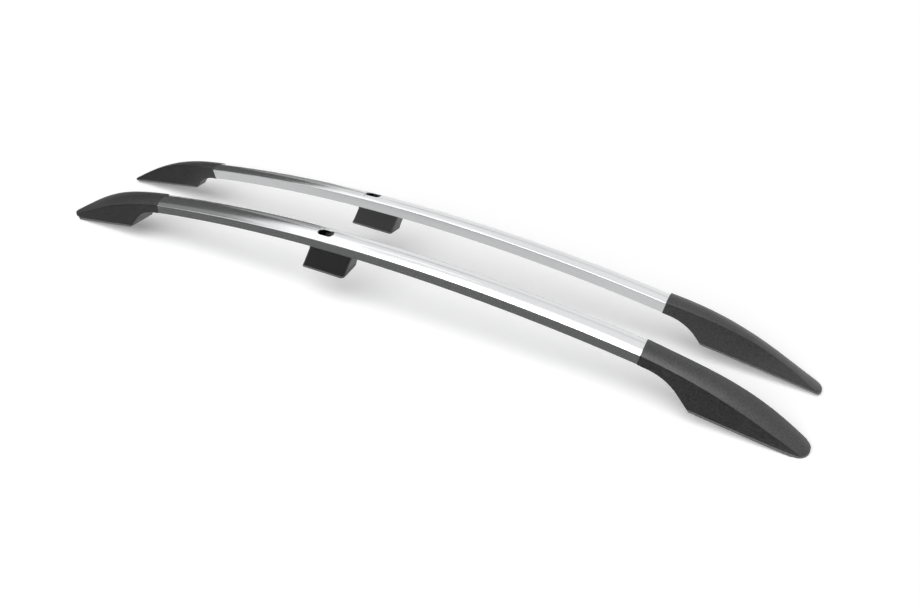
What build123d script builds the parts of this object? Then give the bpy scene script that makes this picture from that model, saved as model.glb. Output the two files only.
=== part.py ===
from build123d import *
from dataclasses import dataclass
from math import asin, cos, degrees, hypot, radians, sin, tan
import os

# Roof side rail pair: two mirrored rails. Each is a curved hollow profile with a moulded cap
# over an inner bracket at each end, and a raked foot under the middle.
# Millimetres. X runs along the rails to the front, Y to the left-hand rail, Z up.
# The right-hand rail is modelled, and the left-hand one is its mirror image.
# "Outward" is away from the other rail. Places along a cap are measured from its tip.

# Layout of the pair
overall_length = 1806.0
rail_spacing = 183.5  # between the rails' centre lines, halfway along
toe_in = 0.62  # degrees that each rail turns towards the other at the front

# Profile: an arc in side view, around a cross axis far below
arch_radius = 4007.0
arch_crest = 137.0  # height of the underside at its highest
arch_crest_x = -5.0
profile_wall = 2.2
profile_base_half = 22.8  # half width of the underside
outer_crease = (19.4, 18.8)  # outward place and height of the outer side's crease
inner_crease = (-24.2, 25.0)
crown_rise = 6.6  # of the top above the straight line between the creases
outer_crease_radius = 2.0
inner_crease_radius = 1.0
profile_foot_radius = 1.2

# Access hole in the top wall, and the long bolt's hole in the wall below it
access_x = -98.0
access_outward = -1.5
access_length = 38.0
access_width = 18.0
long_bolt_hole = 9.0

# Caps
front_cap_length = 316.0
rear_cap_length = 333.0
front_base_slope = 0.150
rear_base_slope = 0.168
front_nose_radius = 25.0
rear_nose_radius = 18.0
nose_outward = 1.0
cross_slope = 0.20  # the bases fall towards the outer side, as a roof does
cap_wall = 2.6
cap_proud_side = 0.7  # how far the side panels stand out from the profile
cap_proud_top = 1.5
panel_recess = 1.8  # depth of the side panels under the top's edge
panel_lip = 1.0  # height of the step between them

# The cap's curves from its tip to the joint: control values, the last set by the profile
run_controls = (0.0, 0.36, 0.56)  # shares of the length
outer_crease_heights = (1.0, 56.0, 97.0)
front_inner_heights = (5.0, 90.0, 99.0)
rear_inner_heights = (5.0, 80.0, 111.0)
crown_rises = (4.5, 6.5, 7.0)
outer_base_spread = (29.0, 29.5, 30.5)
inner_base_spread = (15.0, 15.5, 20.0)
outer_crease_spread = (25.0, 26.0, 30.0)
inner_crease_spread = (17.0, 19.0, 15.0)
station_shares = (0.0, 0.12, 0.28, 0.46, 0.64, 0.82, 1.0)
joint_overrun = 8.0  # the body is drawn past the joint and cut there

# Cut-out between the joint and the heel
cutout_lead = 50.0  # from the joint to where its two straight lines would meet
cutout_slope = 1.13
cutout_bend = 98.0
cutout_skew = 12.0  # degrees, its outer side is farther from the joint

# Seals
gasket_thickness = 4.0
gasket_proud = 0.6
gasket_clearance = 3.0  # around bolts and screw heads

# Inner bracket
fit = 0.4  # between the bracket and the cap
tongue_fit = 0.3  # between the tongue and the profile
tongue_length = 62.0
root_reach = 10.0  # of the solid root on each side of the joint, which the webs run into
root_step = 2.2  # of the root inside the tongue's outer surface
tongue_wall = 3.2
plate_thickness = 4.0
plate_start = 60.0
web_thickness = 3.0
web_gap = 20.0
bolt_outward = 3.0
roof_bolt_places = (86.0, 166.0)
roof_bolt = 8.0
roof_bolt_clearance = 1.0
nut_width = 13.0
nut_height = 6.5
nut_bore = 6.8

# Screws
thread_gap = 0.1  # on the diameter, between a screw and the hole that it cuts
shank_gap = 0.5
seat_gap = 0.01  # under a flat screw head on a curved wall
head_ratio = 1.9  # head to shank diameter
head_height_ratio = 0.5
socket_ratio = 0.6
cap_screw = 4.0
cap_screw_place = 126.0
cap_screw_length = 16.0
cap_screw_depth = 30.0
cap_boss = 9.0
tongue_screw = 5.0
tongue_screw_places = (18.0, 44.0)  # from the joint
tongue_screw_length = 9.0
foot_screw = 5.0
foot_screw_places = (-113.0, -42.0)
foot_screw_length = 12.0

# Middle foot
foot_top_x = -75.0
foot_base_x = -100.0
foot_top_length = 107.0
foot_base_length = 109.0
foot_top_half = 22.2
foot_base_half = 25.3
foot_height = 55.0  # from the profile's underside to the roof, on the centre line
foot_corner = 7.0
foot_wall = 3.0
foot_roof = 5.0
foot_ledge = 4.0
foot_ledge_step = 0.9
foot_seat_overrun = 1.0
sleeve_diameter = 13.0
sleeve_bore = 8.6
sleeve_wall = 2.5  # of the moulding around the sleeve
sleeve_fit = 0.2
nut_plate_margin = 10.0
nut_plate_width = 26.0
nut_plate_thickness = 3.0

half_length = overall_length / 2
reach = 400.0  # of the cutting blocks
below = 30.0  # how far the foot and the cut-outs are drawn under the base
base_margin = 5.0  # how far the caps are drawn under their base planes, which then cut them

# The right-hand rail's own frame: x forward along it, y inboard
turn = radians(toe_in)
rail = Plane(origin=(0, -rail_spacing / 2, 0), x_dir=(cos(turn), sin(turn), 0), z_dir=(0, 0, 1))


@dataclass
class End:
    name: str
    forward: int
    length: float
    base_slope: float
    nose_radius: float
    inner_crease_heights: tuple

    def x(self, from_tip):
        return self.forward * (half_length - from_tip)

    def joint_x(self):
        return self.x(self.length)


front = End("front", 1, front_cap_length, front_base_slope, front_nose_radius, front_inner_heights)
rear = End("rear", -1, rear_cap_length, rear_base_slope, rear_nose_radius, rear_inner_heights)


def on_rail(plane):
    return Plane(rail.location * plane.location)


def across(x):
    # Sketch axes: outward, up
    return on_rail(Plane(origin=(x, 0, 0), x_dir=(0, -1, 0), z_dir=(-1, 0, 0)))


def side_view(outward=0.0):
    # Sketch axes: forward, up
    return on_rail(Plane(origin=(0, -outward, 0), x_dir=(1, 0, 0), z_dir=(0, -1, 0)))


def plan_view(height=0.0):
    # Sketch axes: forward, inboard
    return on_rail(Plane(origin=(0, 0, height), x_dir=(1, 0, 0), z_dir=(0, 0, 1)))


def arch_height(x):
    return arch_crest - arch_radius + (arch_radius**2 - (x - arch_crest_x) ** 2) ** 0.5


def arch_lean(x):
    return asin((x - arch_crest_x) / arch_radius)


def arch_section(x):
    # Square to the arc. Sketch axes: outward, up
    lean = arch_lean(x)
    origin = (x, 0, arch_height(x))
    return on_rail(Plane(origin=origin, x_dir=(0, -1, 0), z_dir=(-cos(lean), 0, sin(lean))))


def arch_spot(x, outward, height):
    # Along the arc, at a height above its underside. Sketch axes: forward, inboard
    lean = arch_lean(x)
    origin = (x + height * sin(lean), -outward, arch_height(x) + height * cos(lean))
    z_dir = (sin(lean), 0, cos(lean))
    return on_rail(Plane(origin=origin, x_dir=(cos(lean), 0, -sin(lean)), z_dir=z_dir))


arch_centre = on_rail(Plane(origin=(arch_crest_x, 0, arch_crest - arch_radius)))
arch_axis = Axis(arch_centre.origin, arch_centre.y_dir)


def joint_plane(end):
    # Its normal points from the profile into the cap
    section = arch_section(end.joint_x())
    return Plane(origin=section.origin, x_dir=section.x_dir, z_dir=section.z_dir * -end.forward)


def base_height(end, from_tip, outward):
    # Height of the base plane, which touches zero under the seal's round nose
    lowest = (end.nose_radius + gasket_proud) * hypot(end.base_slope, cross_slope)
    along = end.base_slope * (from_tip - end.nose_radius)
    return lowest + along - cross_slope * (outward - nose_outward)


def base_spot(end, from_tip, outward, lift=0.0):
    # On the base plane, raised by lift. Sketch axes: forward, inboard
    origin = (end.x(from_tip), -outward, base_height(end, from_tip, outward))
    rise = -end.forward * end.base_slope
    plane = on_rail(Plane(origin=origin, x_dir=(1, 0, rise), z_dir=(-rise, -cross_slope, 1)))
    return plane.offset(lift)


def upright_spot(end, from_tip, outward, lift=0.0):
    # Level, at the base plane's height there plus lift. Sketch axes: forward, inboard
    origin = (end.x(from_tip), -outward, base_height(end, from_tip, outward) + lift)
    return on_rail(Plane(origin=origin, x_dir=(1, 0, 0), z_dir=(0, 0, 1)))


def profile_face(inset, fillets=False):
    # The profile's section, made smaller all round by inset
    base = profile_base_half - inset
    outer = (outer_crease[0] - inset, outer_crease[1] - inset)
    inner = (inner_crease[0] + inset, inner_crease[1] - inset)
    crown = ((outer[0] + inner[0]) / 2, (outer[1] + inner[1]) / 2 + crown_rise)
    with BuildSketch() as section:
        with BuildLine():
            Polyline(inner, (-base, inset), (base, inset), outer)
            ThreePointArc(outer, crown, inner)
        make_face()
        if fillets:
            fillet(section.vertices().sort_by(Axis.Y)[:2], profile_foot_radius)
            fillet(section.vertices().sort_by(Axis.Y)[-1], inner_crease_radius)
            outer_corner = section.vertices().sort_by_distance((*outer_crease, 0))[0]
            fillet(outer_corner, outer_crease_radius)
    return section.sketch


def curved_bar(section, start_x, end_x):
    # A section swept forward along the arch
    sweep_angle = degrees(arch_lean(end_x) - arch_lean(start_x))
    with BuildPart() as bar:
        with BuildSketch(arch_section(start_x)):
            add(section)
        revolve(axis=arch_axis, revolution_arc=sweep_angle)
    return bar.part


def curved_block(outward_from, outward_to, low, high, start_x, end_x):
    # A rectangular bar along the arch
    with BuildSketch() as section:
        with Locations(((outward_from + outward_to) / 2, (low + high) / 2)):
            Rectangle(outward_to - outward_from, high - low)
    return curved_bar(section.sketch, start_x, end_x)


def controlled(controls, last, share):
    # A smooth curve from the first control value to the last
    a, b, c = controls
    rest = 1 - share
    return a * rest**3 + 3 * b * rest**2 * share + 3 * c * rest * share**2 + last * share**3


def cap_section(end, from_tip, share, inset, stepped):
    # Points of the cap's section: base and wall top on each side, the creases and the crown
    joint_height = arch_height(end.x(end.length + joint_overrun))
    joint_depth = joint_height - base_height(end, end.length + joint_overrun, 0) + base_margin
    outer_lean = (profile_base_half - outer_crease[0]) / outer_crease[1]
    inner_lean = (profile_base_half + inner_crease[0]) / inner_crease[1]
    outer_base_last = profile_base_half + cap_proud_side + outer_lean * joint_depth
    inner_base_last = profile_base_half + cap_proud_side + inner_lean * joint_depth
    outer_last = (outer_crease[0] + cap_proud_top, joint_height + outer_crease[1] + cap_proud_top)
    inner_last = (cap_proud_top - inner_crease[0], joint_height + inner_crease[1] + cap_proud_top)
    outer_base = controlled(outer_base_spread, outer_base_last, share) - inset
    inner_base = controlled(inner_base_spread, inner_base_last, share) - inset
    outer_edge = controlled(outer_crease_spread, outer_last[0], share) - inset
    inner_edge = controlled(inner_crease_spread, inner_last[0], share) - inset
    outer_up = controlled(outer_crease_heights, outer_last[1], share) - inset
    inner_up = controlled(end.inner_crease_heights, inner_last[1], share) - inset
    rise = controlled(crown_rises, crown_rise, share)
    outer_bottom = base_height(end, from_tip, outer_base) - base_margin
    inner_bottom = base_height(end, from_tip, -inner_base) - base_margin
    outer_top = (outer_edge - panel_recess, outer_up - panel_lip)
    inner_top = (panel_recess - inner_edge, inner_up - panel_lip)
    crown = ((outer_edge - inner_edge) / 2, (outer_up + inner_up) / 2 + rise)
    wall = [inner_top, (-inner_base, inner_bottom), (outer_base, outer_bottom), outer_top]
    if stepped:
        wall = [(-inner_edge, inner_up)] + wall + [(outer_edge, outer_up)]
    return wall, crown


def cap_body(end, inset, stepped=True):
    # The cap's form before its base, joint and cut-out are cut, made smaller by inset
    drawn_length = end.length + joint_overrun
    nose = end.nose_radius - inset
    nose_x = end.x(end.nose_radius)
    with BuildPart() as body:
        for share in station_shares:
            runs = [drawn_length * run for run in run_controls]
            from_tip = controlled(runs, drawn_length, share)
            wall, crown = cap_section(end, from_tip, share, inset, stepped)
            with BuildSketch(across(end.x(from_tip))):
                with BuildLine():
                    Polyline(*wall)
                    ThreePointArc(wall[-1], crown, wall[0])
                make_face()
        loft()
        with BuildSketch(plan_view(-reach)):
            with Locations((nose_x, -nose_outward)):
                Circle(nose)
            with BuildLine():
                Polyline(
                    (nose_x, -nose_outward - nose),
                    (nose_x, -nose_outward + nose),
                    (end.x(drawn_length + joint_overrun), reach / 2),
                    (end.x(drawn_length + joint_overrun), -reach / 2),
                    close=True,
                )
            make_face()
        extrude(amount=2 * reach, mode=Mode.INTERSECT)
    return body.part


def cutout_block(end, grow=0.0):
    # The space behind the heel, made larger all round by grow
    lead_slope = tan(abs(arch_lean(end.joint_x())))
    start = arch_height(end.joint_x()) - cap_proud_side
    bend_height = start - lead_slope * cutout_lead
    lowest = -below
    end_run = cutout_lead + (bend_height - lowest) / cutout_slope

    plane = side_view()
    across_dir = plane.z_dir + plane.x_dir * (end.forward * tan(radians(cutout_skew)))

    def spot(from_joint, height):
        return (end.joint_x() + end.forward * from_joint, height)

    with BuildPart() as block:
        with BuildSketch(plane) as outline:
            with BuildLine():
                Polyline(
                    spot(-cutout_lead, start + lead_slope * cutout_lead),
                    spot(cutout_lead, bend_height),
                    spot(end_run, lowest),
                    spot(-cutout_lead, lowest),
                    close=True,
                )
            make_face()
            bend = outline.vertices().sort_by_distance((*spot(cutout_lead, bend_height), 0))[0]
            fillet(bend, cutout_bend)
            if grow:
                offset(amount=grow, kind=Kind.INTERSECTION)
        extrude(amount=reach / 2, dir=across_dir, both=True)
    return block.part


def screw(spot, diameter, length):
    # A pan head under the plane at spot, with its shank above it
    head_height = diameter * head_height_ratio
    seat = spot.offset(-seat_gap)
    with BuildPart() as made:
        with BuildSketch(seat):
            Circle(diameter / 2)
        extrude(amount=length)
        with BuildSketch(seat):
            Circle(diameter * head_ratio / 2)
        extrude(amount=-head_height)
        chamfer(made.edges().sort_by(Axis(seat.origin, seat.z_dir))[0], head_height / 3)
        with BuildSketch(seat.offset(-head_height)):
            RegularPolygon(diameter * socket_ratio, 6)
        extrude(amount=head_height * socket_ratio, mode=Mode.SUBTRACT)
    return made.part


def make_profile():
    outside = curved_bar(profile_face(0, fillets=True), rear.joint_x(), front.joint_x())
    inside = curved_bar(profile_face(profile_wall), rear.joint_x(), front.joint_x())
    with BuildPart() as profile:
        add(outside)
        add(inside, mode=Mode.SUBTRACT)
        with BuildSketch(arch_spot(access_x, access_outward, outer_crease[1])):
            SlotOverall(access_length, access_width)
        extrude(amount=outer_crease[1], mode=Mode.SUBTRACT)
        with BuildSketch(arch_spot(access_x, access_outward, -profile_wall)):
            Circle(long_bolt_hole / 2)
        extrude(amount=3 * profile_wall, mode=Mode.SUBTRACT)
        for place in foot_screw_places:
            with BuildSketch(arch_spot(place, access_outward, -profile_wall)):
                Circle((foot_screw + shank_gap) / 2)
            extrude(amount=3 * profile_wall, mode=Mode.SUBTRACT)
        for end in (front, rear):
            for place in tongue_screw_places:
                with BuildSketch(arch_spot(end.x(end.length + place), 0, -profile_wall)):
                    Circle((tongue_screw + shank_gap) / 2)
                extrude(amount=3 * profile_wall, mode=Mode.SUBTRACT)
    return profile.part


def make_cap(end):
    body = cap_body(end, 0)
    cavity = cap_body(end, cap_wall, stepped=False)
    cutout = cutout_block(end)
    inner_cutout = cutout_block(end, cap_wall)
    with BuildPart() as hollow:
        add(cavity)
        add(inner_cutout, mode=Mode.SUBTRACT)
    with BuildPart() as boss:
        with BuildSketch(upright_spot(end, cap_screw_place, bolt_outward)):
            Circle(cap_boss / 2)
        extrude(amount=reach)
        add(body, mode=Mode.INTERSECT)
        split(bisect_by=base_spot(end, 0, 0, gasket_thickness + plate_thickness), keep=Keep.TOP)
    with BuildPart() as cap:
        add(body)
        add(cutout, mode=Mode.SUBTRACT)
        add(hollow.part, mode=Mode.SUBTRACT)
        add(boss.part)
        with BuildSketch(upright_spot(end, cap_screw_place, bolt_outward)):
            Circle((cap_screw + thread_gap) / 2)
        extrude(amount=cap_screw_depth, mode=Mode.SUBTRACT)
        split(bisect_by=joint_plane(end), keep=Keep.TOP)
        split(bisect_by=base_spot(end, 0, 0, gasket_thickness), keep=Keep.TOP)
    return cap.part


def make_gasket(end):
    body = cap_body(end, -gasket_proud, stepped=False)
    cutout = cutout_block(end)
    with BuildPart() as gasket:
        add(body)
        add(cutout, mode=Mode.SUBTRACT)
        split(bisect_by=base_spot(end, 0, 0), keep=Keep.TOP)
        split(bisect_by=base_spot(end, 0, 0, gasket_thickness), keep=Keep.BOTTOM)
        for place in roof_bolt_places:
            with BuildSketch(base_spot(end, place, bolt_outward)):
                Circle(roof_bolt / 2 + gasket_clearance)
            extrude(amount=gasket_thickness, mode=Mode.SUBTRACT)
        with BuildSketch(upright_spot(end, cap_screw_place, bolt_outward, -gasket_thickness)):
            Circle(cap_screw * head_ratio / 2 + gasket_clearance)
        extrude(amount=3 * gasket_thickness, mode=Mode.SUBTRACT)
    return gasket.part


def make_bracket(end):
    # Two upright webs on a base plate, and a tongue that plugs into the profile, hollow there
    space = cap_body(end, cap_wall + fit, stepped=False)
    cutout = cutout_block(end, cap_wall + fit)
    inset = profile_wall + tongue_fit
    tongue_span = sorted((end.x(end.length + tongue_length), end.joint_x()))
    root_span = sorted((end.x(end.length + root_reach), end.x(end.length - root_reach)))
    tongue = curved_bar(profile_face(inset), *tongue_span)
    core = curved_bar(profile_face(inset + tongue_wall), *tongue_span)
    root = curved_bar(profile_face(inset + root_step), *root_span)
    plate_low = base_spot(end, 0, 0, gasket_thickness)
    plate_high = base_spot(end, 0, 0, gasket_thickness + plate_thickness)
    web_end = end.length - root_reach / 2
    middle_x = end.x((plate_start + web_end) / 2)
    span = web_end - plate_start
    with BuildPart() as webs:
        for place in (-web_gap / 2 - web_thickness, web_gap / 2):
            with BuildSketch(side_view(bolt_outward + place)):
                with Locations((middle_x, 0)):
                    Rectangle(span, reach)
            extrude(amount=web_thickness)
    with BuildPart() as plate:
        with BuildSketch(plan_view(-reach / 2)):
            with Locations((middle_x, 0)):
                Rectangle(span, reach)
        extrude(amount=reach)
        split(bisect_by=plate_high, keep=Keep.BOTTOM)
    with BuildPart() as bracket:
        add(webs.part)
        add(plate.part)
        add(space, mode=Mode.INTERSECT)
        add(cutout, mode=Mode.SUBTRACT)
        split(bisect_by=plate_low, keep=Keep.TOP)
        split(bisect_by=joint_plane(end), keep=Keep.TOP)
        add(tongue)
        add(core, mode=Mode.SUBTRACT)
        add(root)
        for place in roof_bolt_places:
            with BuildSketch(base_spot(end, place, bolt_outward)):
                Circle((roof_bolt + roof_bolt_clearance) / 2)
            extrude(amount=gasket_thickness + 2 * plate_thickness, mode=Mode.SUBTRACT)
        with BuildSketch(upright_spot(end, cap_screw_place, bolt_outward)):
            Circle((cap_screw + shank_gap) / 2)
        extrude(amount=gasket_thickness + 2 * plate_thickness, mode=Mode.SUBTRACT)
        with BuildSketch(upright_spot(end, cap_screw_place, bolt_outward)):
            Circle((cap_screw * head_ratio + shank_gap) / 2)
        extrude(amount=gasket_thickness + plate_thickness / 3, mode=Mode.SUBTRACT)
        for place in tongue_screw_places:
            with BuildSketch(arch_spot(end.x(end.length + place), 0, 0)):
                Circle((tongue_screw + thread_gap) / 2)
            extrude(amount=inset + 2 * tongue_wall, mode=Mode.SUBTRACT)
    return bracket.part


def make_roof_nuts(end):
    with BuildPart() as nuts:
        for place in roof_bolt_places:
            seat = base_spot(end, place, bolt_outward, gasket_thickness + plate_thickness)
            with BuildSketch(seat):
                RegularPolygon(nut_width / 2, 6, major_radius=False)
                Circle(nut_bore / 2, mode=Mode.SUBTRACT)
            extrude(amount=nut_height)
    return nuts.part


def make_cap_screw(end):
    seat = gasket_thickness + plate_thickness / 3
    return screw(upright_spot(end, cap_screw_place, bolt_outward, seat), cap_screw, cap_screw_length)


def make_tongue_screws(end):
    with BuildPart() as screws:
        for place in tongue_screw_places:
            spot = arch_spot(end.x(end.length + place), 0, 0)
            add(screw(spot, tongue_screw, tongue_screw_length))
    return screws.part


# The middle foot's base plane falls outward like the caps' bases
foot_base = on_rail(
    Plane(
        origin=(foot_base_x, 0, arch_crest - foot_height),
        x_dir=(1, 0, 0),
        z_dir=(0, -cross_slope, 1),
    )
)
sleeve_spot = arch_spot(access_x, access_outward, 0)


def foot_block(inset):
    # The raked block, drawn from just above the profile's underside to below the base
    with BuildPart() as block:
        for height in (arch_crest + foot_seat_overrun, arch_crest - foot_height - below):
            share = (arch_crest - height) / foot_height
            x = foot_top_x + (foot_base_x - foot_top_x) * share
            length = foot_top_length + (foot_base_length - foot_top_length) * share
            half = foot_top_half + (foot_base_half - foot_top_half) * share
            with BuildSketch(plan_view(height)):
                with Locations((x, 0)):
                    RectangleRounded(length - 2 * inset, 2 * (half - inset), foot_corner - inset)
        loft(ruled=True)
    return block.part


def make_middle_foot():
    block_ends = (foot_base_x - foot_base_length, foot_top_x + foot_top_length)
    profile_space = curved_bar(profile_face(0), *block_ends)
    roof_space = curved_block(-reach / 4, reach / 4, -foot_roof, reach / 8, *block_ends)
    ledge_space = curved_block(-reach / 4, reach / 4, -foot_ledge, reach / 8, *block_ends)
    ledge_block = foot_block(0)
    main_block = foot_block(foot_ledge_step)
    cavity_block = foot_block(foot_ledge_step + foot_wall)
    with BuildPart() as ledge:
        add(ledge_block)
        add(ledge_space, mode=Mode.INTERSECT)
    with BuildPart() as cavity:
        add(cavity_block)
        add(roof_space, mode=Mode.SUBTRACT)
        with BuildSketch(sleeve_spot):
            Circle(sleeve_diameter / 2 + sleeve_fit + sleeve_wall)
        extrude(amount=-reach / 2, mode=Mode.SUBTRACT)
    with BuildPart() as foot:
        add(main_block)
        add(ledge.part)
        add(cavity.part, mode=Mode.SUBTRACT)
        add(profile_space, mode=Mode.SUBTRACT)
        with BuildSketch(sleeve_spot):
            Circle(sleeve_diameter / 2 + sleeve_fit)
        extrude(amount=-reach / 2, mode=Mode.SUBTRACT)
        for place in foot_screw_places:
            with BuildSketch(arch_spot(place, access_outward, -2 * foot_roof)):
                Circle((foot_screw + shank_gap) / 2)
            extrude(amount=3 * foot_roof, mode=Mode.SUBTRACT)
        split(bisect_by=foot_base.offset(gasket_thickness), keep=Keep.TOP)
    return foot.part


def make_foot_gasket():
    block = foot_block(foot_ledge_step - gasket_proud)
    with BuildPart() as gasket:
        add(block)
        split(bisect_by=foot_base.offset(gasket_thickness), keep=Keep.BOTTOM)
        split(bisect_by=foot_base, keep=Keep.TOP)
        with BuildSketch(sleeve_spot):
            Circle(sleeve_diameter / 2 + sleeve_fit)
        extrude(amount=-reach / 2, mode=Mode.SUBTRACT)
    return gasket.part


def make_foot_sleeve():
    profile_space = curved_bar(profile_face(0), access_x - sleeve_diameter, access_x + sleeve_diameter)
    with BuildPart() as sleeve:
        with BuildSketch(sleeve_spot.offset(foot_seat_overrun)):
            Circle(sleeve_diameter / 2)
            Circle(sleeve_bore / 2, mode=Mode.SUBTRACT)
        extrude(amount=-reach / 2)
        add(profile_space, mode=Mode.SUBTRACT)
        split(bisect_by=foot_base, keep=Keep.TOP)
    return sleeve.part


def make_foot_nut_plate():
    first, last = foot_screw_places
    plate = curved_block(
        access_outward - nut_plate_width / 2,
        access_outward + nut_plate_width / 2,
        profile_wall,
        profile_wall + nut_plate_thickness,
        first - nut_plate_margin,
        last + nut_plate_margin,
    )
    with BuildPart() as nut_plate:
        add(plate)
        with BuildSketch(arch_spot(access_x, access_outward, 0)):
            Circle(long_bolt_hole / 2)
        extrude(amount=2 * (profile_wall + nut_plate_thickness), mode=Mode.SUBTRACT)
        for place in foot_screw_places:
            with BuildSketch(arch_spot(place, access_outward, 0)):
                Circle((foot_screw + thread_gap) / 2)
            extrude(amount=2 * (profile_wall + nut_plate_thickness), mode=Mode.SUBTRACT)
    return nut_plate.part


def make_foot_screws():
    with BuildPart() as screws:
        for place in foot_screw_places:
            add(screw(arch_spot(place, access_outward, -foot_roof), foot_screw, foot_screw_length))
    return screws.part


pieces = {
    "profile": make_profile(),
    "middle_foot": make_middle_foot(),
    "foot_gasket": make_foot_gasket(),
    "foot_sleeve": make_foot_sleeve(),
    "foot_nut_plate": make_foot_nut_plate(),
    "foot_screws": make_foot_screws(),
}
for end in (front, rear):
    pieces[f"{end.name}_cap"] = make_cap(end)
    pieces[f"{end.name}_gasket"] = make_gasket(end)
    pieces[f"{end.name}_bracket"] = make_bracket(end)
    pieces[f"{end.name}_roof_nuts"] = make_roof_nuts(end)
    pieces[f"{end.name}_cap_screw"] = make_cap_screw(end)
    pieces[f"{end.name}_tongue_screws"] = make_tongue_screws(end)

os.makedirs("parts", exist_ok=True)
for name, piece in pieces.items():
    with BuildPart() as right:
        add(piece)
    right.part.label = f"right_{name}"
    export_step(right.part, f"parts/right_{name}.step")
    with BuildPart() as left:
        mirror(piece, about=Plane.XZ)
    left.part.label = f"left_{name}"
    export_step(left.part, f"parts/left_{name}.step")
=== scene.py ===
import math

import bpy
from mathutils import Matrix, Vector

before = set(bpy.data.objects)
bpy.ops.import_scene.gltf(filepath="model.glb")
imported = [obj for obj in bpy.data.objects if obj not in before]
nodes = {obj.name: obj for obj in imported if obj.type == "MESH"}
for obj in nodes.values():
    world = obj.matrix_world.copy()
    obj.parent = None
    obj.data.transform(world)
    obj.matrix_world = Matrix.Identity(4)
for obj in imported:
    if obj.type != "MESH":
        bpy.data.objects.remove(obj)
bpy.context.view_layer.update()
print("frame loaded:", len(nodes), "nodes")

bpy.ops.object.select_all(action="DESELECT")


def addNode(tree, kind, **settings):
    made = tree.nodes.new(kind)
    for name, value in settings.items():
        setattr(made, name, value)
    return made


def startMaterial(name):
    made = bpy.data.materials.new(name)
    made.use_nodes = True
    return made, made.node_tree, made.node_tree.nodes["Principled BSDF"]


def placeOn(tree, stretch=(1, 1, 1), turn=(0, 0, 0)):
    # object coordinates, turned and stretched
    coords = addNode(tree, "ShaderNodeTexCoord")
    mapping = addNode(tree, "ShaderNodeMapping")
    mapping.inputs["Scale"].default_value = stretch
    mapping.inputs["Rotation"].default_value = turn
    tree.links.new(coords.outputs["Object"], mapping.inputs["Vector"])
    return mapping.outputs["Vector"]


def noise(tree, place, fineness, detail, contrast=0.55):
    made = addNode(tree, "ShaderNodeTexNoise")
    made.inputs["Scale"].default_value = fineness
    made.inputs["Detail"].default_value = detail
    made.inputs["Roughness"].default_value = contrast
    tree.links.new(place, made.inputs["Vector"])
    return made.outputs["Fac"]


def ramp(tree, factor, low, high, spread=0.2):
    # from low to high, which are greys or colours, over the middle of a pattern
    made = addNode(tree, "ShaderNodeValToRGB")
    start, end = made.color_ramp.elements
    start.position = 0.5 - spread
    end.position = 0.5 + spread
    for element, colour in ((start, low), (end, high)):
        if not isinstance(colour, tuple):
            colour = (colour,) * 3
        element.color = (*colour, 1)
    tree.links.new(factor, made.inputs["Fac"])
    return made.outputs["Color"]


edges = {"radius": 0.002, "samples": 6}  # all edges are shaded as round by this radius


def bump(tree, height, shader, depth, strength):
    made = addNode(tree, "ShaderNodeBump")
    made.inputs["Distance"].default_value = depth
    made.inputs["Strength"].default_value = strength
    tree.links.new(height, made.inputs["Height"])
    edge = addNode(tree, "ShaderNodeBevel", samples=edges["samples"])
    edge.inputs["Radius"].default_value = edges["radius"]
    tree.links.new(edge.outputs["Normal"], made.inputs["Normal"])
    tree.links.new(made.outputs["Normal"], shader.inputs["Normal"])


aluminium = {
    "toeIn": 0.62,  # degrees that each rail turns in, and its streaks with it
    "dark": (0.70, 0.71, 0.72),
    "light": (0.80, 0.805, 0.81),
    "roughnessLow": 0.14,
    "roughnessHigh": 0.20,
    "roughnessSpread": 0.25,
    "streakStretch": (0.015, 1, 1),  # the smaller the first, the longer the streaks
    "streakFineness": 1600,
    "streakDetail": 6.0,
    "streakContrast": 0.6,
    "streakDepth": 0.000002,
    "streakStrength": 0.5,
    "cloudStretch": (0.6, 1, 1),
    "cloudFineness": 6,
    "cloudDetail": 3.0,
    "cloudShade": 0.96,
}


def brushedAluminium(name, side):
    # fine streaks along the rail, with faint broad clouds; side is 1 for the right rail
    look = aluminium
    made, tree, shader = startMaterial(name)
    turn = (0, 0, -side * math.radians(look["toeIn"]))
    along = placeOn(tree, look["streakStretch"], turn)
    streaks = noise(
        tree, along, look["streakFineness"], look["streakDetail"], look["streakContrast"]
    )
    broad = placeOn(tree, look["cloudStretch"], turn)
    clouds = noise(tree, broad, look["cloudFineness"], look["cloudDetail"])
    mixed = addNode(tree, "ShaderNodeMix", data_type="RGBA", blend_type="MULTIPLY")
    factor, first, second = mixed.inputs[0], mixed.inputs[6], mixed.inputs[7]
    factor.default_value = 1.0
    tree.links.new(ramp(tree, streaks, look["dark"], look["light"]), first)
    tree.links.new(ramp(tree, clouds, look["cloudShade"], 1.0), second)
    tree.links.new(mixed.outputs[2], shader.inputs["Base Color"])
    rough = ramp(
        tree, streaks, look["roughnessLow"], look["roughnessHigh"], look["roughnessSpread"]
    )
    tree.links.new(rough, shader.inputs["Roughness"])
    shader.inputs["Metallic"].default_value = 1.0
    bump(tree, streaks, shader, look["streakDepth"], look["streakStrength"])
    return made


plastics = {
    "capPlastic": {"colour": (0.019, 0.019, 0.020), "grain": 290, "roughness": 0.42},
    "footPlastic": {"colour": (0.011, 0.011, 0.012), "grain": 1500, "roughness": 0.36},
    "sealRubber": {"colour": (0.09, 0.09, 0.092), "grain": 700, "roughness": 0.6},
}
moulding = {
    "darkest": 0.35,  # of the grain, as a share of the colour; this spread is partly real grain and partly painted sparkle, standing in for glints of light
    "lightestWithSparkle": 2.0,
    "grainDetail": 3.0,
    "grainContrast": 0.6,
    "grainDepth": 0.0005,
    "grainStrength": 0.8,
    "cloudFineness": 35,
    "cloudDetail": 4.0,
    "glossier": 0.05,  # how far the clouds take the roughness down, and up
    "duller": 0.07,
    "specular": 0.6,
}


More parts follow.
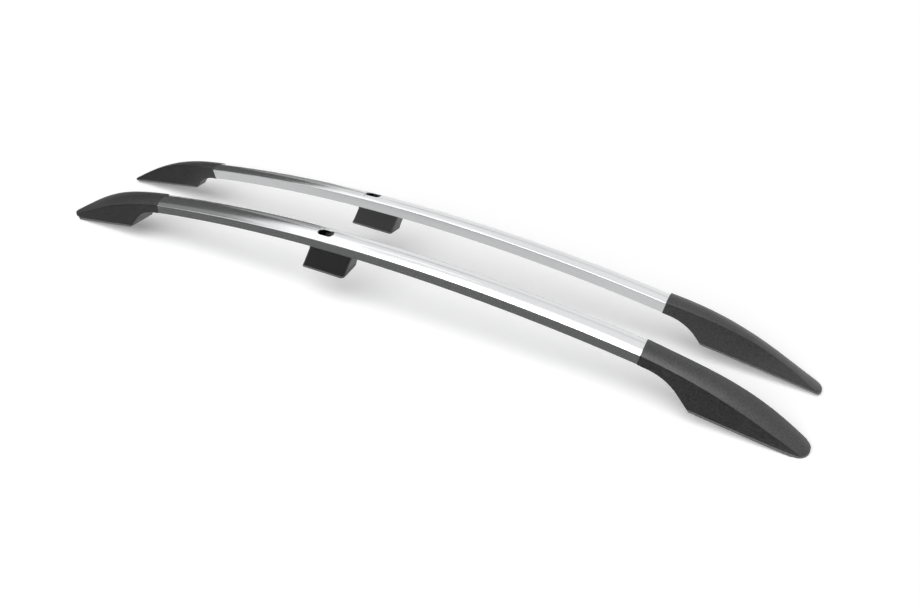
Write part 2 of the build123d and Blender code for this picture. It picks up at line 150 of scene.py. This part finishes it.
def mouldedPlastic(name):
    # fine even grain in the colour, partly real and partly painted sparkle standing in for
    # glints of light, with faint clouding in the gloss
    look = {**moulding, **plastics[name]}
    made, tree, shader = startMaterial(name)
    fine = noise(
        tree, placeOn(tree), look["grain"], look["grainDetail"], look["grainContrast"]
    )
    clouds = noise(tree, placeOn(tree), look["cloudFineness"], look["cloudDetail"])
    low, high = (
        tuple(part * share for part in look["colour"])
        for share in (look["darkest"], look["lightestWithSparkle"])
    )
    glossy, dull = look["roughness"] - look["glossier"], look["roughness"] + look["duller"]
    # painted sparkle: the grain's wide spread in base colour stands in for glints of light, as
    # well as the real grain
    tree.links.new(ramp(tree, fine, low, high), shader.inputs["Base Color"])
    tree.links.new(ramp(tree, clouds, glossy, dull), shader.inputs["Roughness"])
    shader.inputs["Specular IOR Level"].default_value = look["specular"]
    bump(tree, fine, shader, look["grainDepth"], look["grainStrength"])
    return made


metals = {
    "castAluminium": {"colour": (0.50, 0.50, 0.51), "mottle": 400, "roughness": 0.5},
    "zincSteel": {"colour": (0.62, 0.62, 0.60), "mottle": 250, "roughness": 0.3},
}
mottling = {
    "darkest": 0.85,  # as a share of the colour
    "detail": 5.0,
    "depth": 0.00005,
    "strength": 0.3,
    "glossier": 0.06,
    "duller": 0.08,
}


def plainMetal(name):
    look = {**mottling, **metals[name]}
    made, tree, shader = startMaterial(name)
    mottle = noise(tree, placeOn(tree), look["mottle"], look["detail"])
    low = tuple(part * look["darkest"] for part in look["colour"])
    glossy, dull = look["roughness"] - look["glossier"], look["roughness"] + look["duller"]
    tree.links.new(ramp(tree, mottle, low, look["colour"]), shader.inputs["Base Color"])
    tree.links.new(ramp(tree, mottle, glossy, dull), shader.inputs["Roughness"])
    shader.inputs["Metallic"].default_value = 1.0
    bump(tree, mottle, shader, look["depth"], look["strength"])
    return made


finishes = {
    # by how a node's name ends
    "right_profile": brushedAluminium("brushedAluminiumRight", 1),
    "left_profile": brushedAluminium("brushedAluminiumLeft", -1),
    "cap": mouldedPlastic("capPlastic"),
    "middle_foot": mouldedPlastic("footPlastic"),
    "gasket": mouldedPlastic("sealRubber"),
    "bracket": plainMetal("castAluminium"),
}
zincSteel = plainMetal("zincSteel")  # screws, nuts, nut plates and sleeves

for name, node in nodes.items():
    finish = zincSteel
    for ending, material in finishes.items():
        if name.endswith(ending):
            finish = material
    node.data.materials.clear()
    node.data.materials.append(finish)
print("finishes set")

stage = {
    "floorSize": 60,
    "floorGrey": 0.95,
    "floorRoughness": 0.9,
    "whiteForCamera": 0.17,  # added where the camera or a reflection sees the floor
    "skyGrey": 0.14,  # the light that the sky gives
    "skyWhite": 1.0,  # the sky that the camera and reflections see
}
lamps = {
    # heading towards the light, strength and apparent width in degrees
    "softbox": {"heading": (-0.02, -0.58, 0.81), "strength": 2.9, "angle": 70},
}
thinnest = 0.0002  # how thick a card is
onFloor = 0.0008  # how high the floor's cards lie
cards = {
    # seen in reflections alone: lowest and highest corners, and how bright
    "leftDark": {"low": (-3.5, -0.2, 0.8), "high": (-3.5, 2.9, 3.6), "grey": 0.10},
    "leftDim": {"low": (-3.5, 2.9, 0.8), "high": (-3.5, 4.8, 3.0), "grey": 0.42},
    "leftFoot": {"low": (-3.5, -0.2, 0.0), "high": (-3.5, 4.8, 0.8), "grey": 0.08},
    "leftLow": {"low": (-3.5, -2.8, 0.0), "high": (-3.5, -0.2, 3.3), "grey": 0.26},
    "leftBright": {"low": (-3.5, -3.2, 4.2), "high": (-3.5, 2.2, 6.2), "grey": 1.6},
    "nearBright": {"low": (-3.5, -7.0, 0.0), "high": (-3.5, -2.9, 5.6), "grey": 1.6},
    "overBright": {"low": (-3.4, 0.9, 4.0), "high": (-0.9, 1.6, 4.0), "grey": 1.35},
    "overDim": {"low": (-0.9, 0.9, 4.0), "high": (1.6, 1.6, 4.0), "grey": 0.98},
    "backDim": {"low": (-1.5, 4.5, 2.8), "high": (2.5, 4.5, 5.0), "grey": 0.84},
    "backLeft": {"low": (-3.5, 4.5, 3.45), "high": (-1.5, 4.5, 5.0), "grey": 0.66},
    "frontDark": {"low": (-1.8, -3.0, 0.0), "high": (3.0, -3.0, 2.1), "grey": 0.05},
    "frontDim": {"low": (-1.8, -3.0, 2.1), "high": (3.0, -3.0, 2.8), "grey": 0.25},
    "floorDark": {"low": (-1.6, -1.6, onFloor), "high": (1.6, -0.128, onFloor), "grey": 0.15},
    "floorEnd": {"low": (-1.6, -0.128, onFloor), "high": (-0.75, 0.13, onFloor), "grey": 0.15},
    # painted shade: a dim sheet under and between the rails, seen only in reflections,
    # standing in for the floor's shadow there
    "floorDim": {"low": (-0.75, -0.128, onFloor), "high": (0.75, 0.06, onFloor), "grey": 0.72},
}


def grey(level):
    return (level, level, level, 1)


def eitherRay(tree):
    # 1 for what the camera, a reflection or a clear material sees
    path = addNode(tree, "ShaderNodeLightPath")
    made = path.outputs["Is Camera Ray"]
    for kind in ("Is Glossy Ray", "Is Transmission Ray"):
        larger = addNode(tree, "ShaderNodeMath", operation="MAXIMUM")
        tree.links.new(made, larger.inputs[0])
        tree.links.new(path.outputs[kind], larger.inputs[1])
        made = larger.outputs[0]
    return made


bpy.ops.mesh.primitive_plane_add(size=stage["floorSize"], location=(0, 0, 0))
floor = bpy.context.object
floor.name = "floor"
floorFinish, tree, shader = startMaterial("floorFinish")
shader.inputs["Base Color"].default_value = grey(stage["floorGrey"])
shader.inputs["Roughness"].default_value = stage["floorRoughness"]
shader.inputs["Specular IOR Level"].default_value = 0.0
glow = addNode(tree, "ShaderNodeMath", operation="MULTIPLY")
tree.links.new(eitherRay(tree), glow.inputs[0])
glow.inputs[1].default_value = stage["whiteForCamera"]
shader.inputs["Emission Color"].default_value = grey(1)
tree.links.new(glow.outputs[0], shader.inputs["Emission Strength"])
floor.data.materials.append(floorFinish)

world = bpy.data.worlds.new("room")
bpy.context.scene.world = world
world.use_nodes = True
tree = world.node_tree
background = tree.nodes["Background"]
background.inputs["Color"].default_value = grey(1)
sky = addNode(tree, "ShaderNodeMapRange")
sky.inputs["To Min"].default_value = stage["skyGrey"]
sky.inputs["To Max"].default_value = stage["skyWhite"]
tree.links.new(eitherRay(tree), sky.inputs["Value"])
tree.links.new(sky.outputs["Result"], background.inputs["Strength"])

for name, lamp in lamps.items():
    light = bpy.data.objects.new(name, bpy.data.lights.new(name, "SUN"))
    bpy.context.scene.collection.objects.link(light)
    light.data.energy = lamp["strength"]
    light.data.angle = math.radians(lamp["angle"])
    light.rotation_euler = Vector(lamp["heading"]).to_track_quat("Z", "Y").to_euler()

for name, card in cards.items():
    low, high = Vector(card["low"]), Vector(card["high"])
    bpy.ops.mesh.primitive_cube_add(size=1, location=(low + high) / 2)
    flag = bpy.context.object
    flag.name = name
    flag.scale = [max(side, thinnest) for side in high - low]
    flagFinish, tree, shader = startMaterial(name + "Finish")
    tree.nodes.remove(shader)
    glow = addNode(tree, "ShaderNodeEmission")
    glow.inputs["Color"].default_value = grey(card["grey"])
    tree.links.new(glow.outputs[0], tree.nodes["Material Output"].inputs["Surface"])
    flag.data.materials.append(flagFinish)
    flag.visible_camera = False
    flag.visible_diffuse = False
    flag.visible_shadow = False
    flag.visible_transmission = False
print("stage set")

view = {
    "place": (0.7616, -1.1256, 0.9861),
    "towards": (-0.3671, 0.7002, -0.6123),
    "lens": 28.76,
    "sensorWidth": 36,
    "nearest": 0.01,
}
camera = bpy.data.objects.new("camera", bpy.data.cameras.new("camera"))
bpy.context.scene.collection.objects.link(camera)
camera.data.sensor_width = view["sensorWidth"]
camera.data.lens = view["lens"]
camera.data.clip_start = view["nearest"]
camera.location = view["place"]
camera.rotation_euler = Vector(view["towards"]).to_track_quat("-Z", "Y").to_euler()
bpy.context.scene.camera = camera
print("camera set")

bpy.context.scene.view_settings.view_transform = "Standard"
